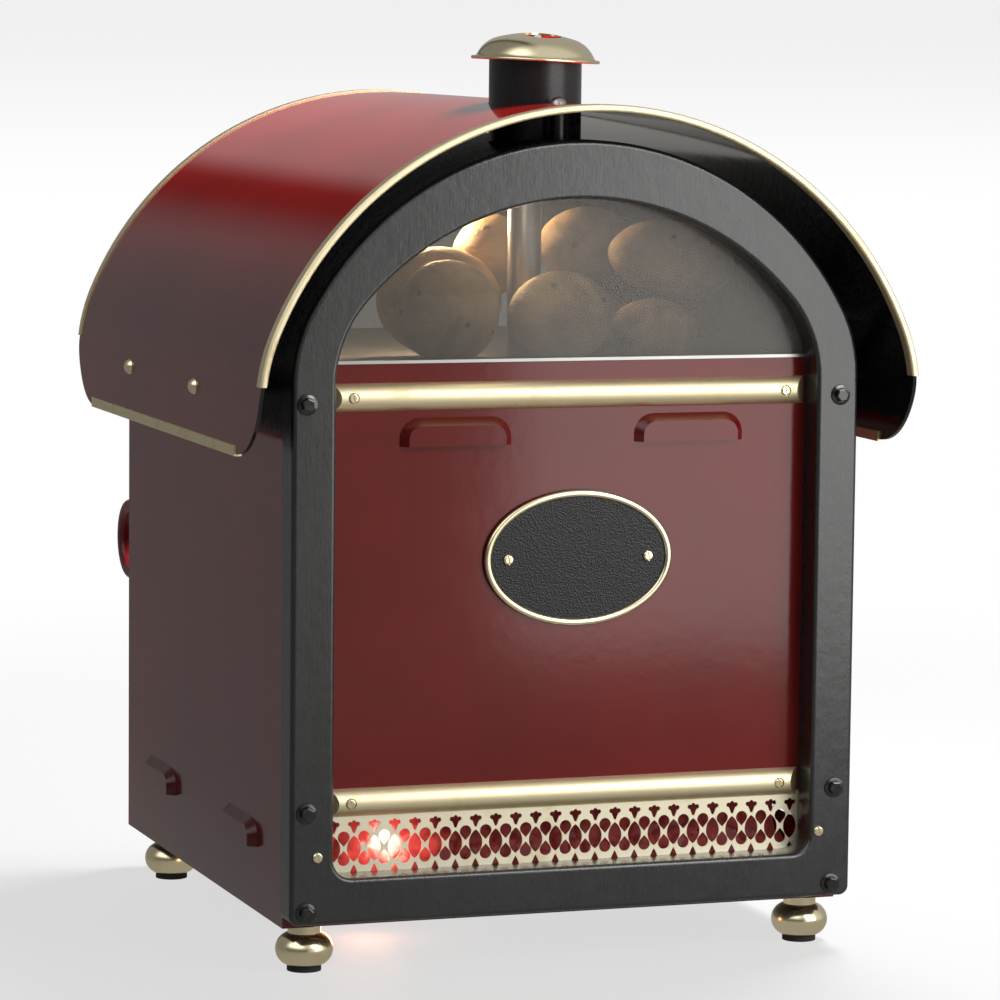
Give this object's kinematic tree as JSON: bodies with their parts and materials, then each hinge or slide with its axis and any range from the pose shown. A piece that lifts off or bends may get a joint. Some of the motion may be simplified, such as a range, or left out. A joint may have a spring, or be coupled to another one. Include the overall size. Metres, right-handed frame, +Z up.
{
  "type": "baked potato oven",
  "caption": "Counter-top baked potato oven with an arched cast front, smoked window, pierced brass fret, curved canopy with chimney, and rear oven and display doors.",
  "frame": {"origin": "middle of the whole object's footprint, on the surface it stands on", "axes": "+Z up; the cast front with the window faces -Y; +X is to the right when looking at that front"},
  "size_m": [0.5694, 0.6256, 0.7553],
  "materials": {
    "cast_black": "satin black enamel",
    "black_steel": "satin black",
    "enamel_burgundy": "gloss vitreous enamel",
    "enamel_red": "gloss vitreous enamel, black inside",
    "brass": "polished",
    "bright_steel": "brushed",
    "chromed_wire": "bright",
    "badge_black": "polished rim, black filled field, bare",
    "smoked_glass": "smoked",
    "clear_glass": "clear",
    "lamp_glass": "frosted, lit",
    "lamp_ceramic": "unglazed",
    "ember_resin": "moulded coals, lit from below",
    "black_rubber": "matte",
    "mineral_wool": "fibrous",
    "motor_grey": "cast",
    "element_dark": "heat darkened",
    "grip_red": "satin",
    "rocker_red": "gloss",
    "amber_lens": "translucent",
    "black_plastic": "satin",
    "potato_skin": "baked skin"
  },
  "bodies": {
    "cabinet": {"front_casting": "cast_black", "casting_bolts": "black_steel", "brass_screws": "brass", "side_panel_left": "enamel_burgundy", "side_panel_right": "enamel_burgundy", "roof_shell": "black_steel", "base_plate": "black_steel", "rear_frame": "black_steel", "front_panel": "enamel_burgundy", "upper_rail": "brass", "lower_rail": "brass", "badge": "badge_black", "fender_fret": "brass", "window_strip": "bright_steel", "window_glass": "smoked_glass", "coal_bed": "ember_resin", "lamp_holders": "lamp_ceramic", "coal_lamp": "lamp_glass", "display_lamp": "lamp_glass", "canopy_sheet": "enamel_red", "canopy_trim_front": "brass", "canopy_trim_rear": "brass", "canopy_side_trims": "brass", "canopy_spacers": "black_steel", "canopy_bolts": "brass", "chimney_tube": "black_steel", "flue_tube": "bright_steel", "chimney_cap": "brass", "cap_bridge": "bright_steel", "feet": "brass", "foot_pads": "black_rubber", "oven_liner": "bright_steel", "oven_insulation": "mineral_wool", "display_floor": "bright_steel", "shelf_runners": "bright_steel", "oven_shelf_1": "chromed_wire", "oven_shelf_2": "chromed_wire", "fan_motor": "motor_grey", "heating_element": "element_dark", "fan_baffle": "bright_steel", "oven_hinges": "bright_steel", "display_hinges": "bright_steel", "control_panel": "bright_steel", "control_bodies": "black_plastic", "switch_cases": "black_plastic", "indicator_lenses": "amber_lens", "inlet_gland": "black_plastic", "display_potatoes": "potato_skin"},
    "oven_door_leaf": {"oven_door": "enamel_burgundy", "oven_door_pan": "bright_steel", "oven_door_seal": "black_rubber", "oven_door_handle": "grip_red"},
    "display_door_leaf": {"display_door": "bright_steel", "display_door_glass": "clear_glass", "display_door_knob": "black_plastic"},
    "thermostat_knob_body": {"thermostat_knob": "black_plastic"},
    "timer_knob_body": {"timer_knob": "black_plastic"},
    "oven_switch_body": {"oven_switch": "rocker_red"},
    "lamp_switch_body": {"lamp_switch": "rocker_red"},
    "fan_wheel_body": {"fan_wheel": "bright_steel"}
  },
  "joints": [
    {"name": "oven_door_hinge", "type": "hinge", "parent": "cabinet", "child": "oven_door_leaf", "pos_m": [0.228, 0.25375, 0.2915], "axis": [0, 0, -1], "range_deg": [0, 110]},
    {"name": "display_door_hinge", "type": "hinge", "parent": "cabinet", "child": "display_door_leaf", "pos_m": [0.216, 0.24805, 0.4745], "axis": [0, 0, -1], "range_deg": [0, 110]},
    {"name": "thermostat_turn", "type": "hinge", "parent": "cabinet", "child": "thermostat_knob_body", "pos_m": [-0.13, 0.24475, 0.0935], "axis": [0, 1, 0], "range_deg": [0, 300]},
    {"name": "timer_turn", "type": "hinge", "parent": "cabinet", "child": "timer_knob_body", "pos_m": [-0.055, 0.24475, 0.0935], "axis": [0, 1, 0], "range_deg": [0, 300]},
    {"name": "oven_switch_rock", "type": "hinge", "parent": "cabinet", "child": "oven_switch_body", "pos_m": [0.015, 0.24175, 0.0935], "axis": [1, 0, 0], "range_deg": [0, 20]},
    {"name": "lamp_switch_rock", "type": "hinge", "parent": "cabinet", "child": "lamp_switch_body", "pos_m": [0.055, 0.24175, 0.0935], "axis": [1, 0, 0], "range_deg": [0, 20]},
    {"name": "fan_spin", "type": "hinge", "parent": "cabinet", "child": "fan_wheel_body", "pos_m": [0, -0.19525, 0.2915], "axis": [0, 1, 0], "continuous": true}
  ]
}
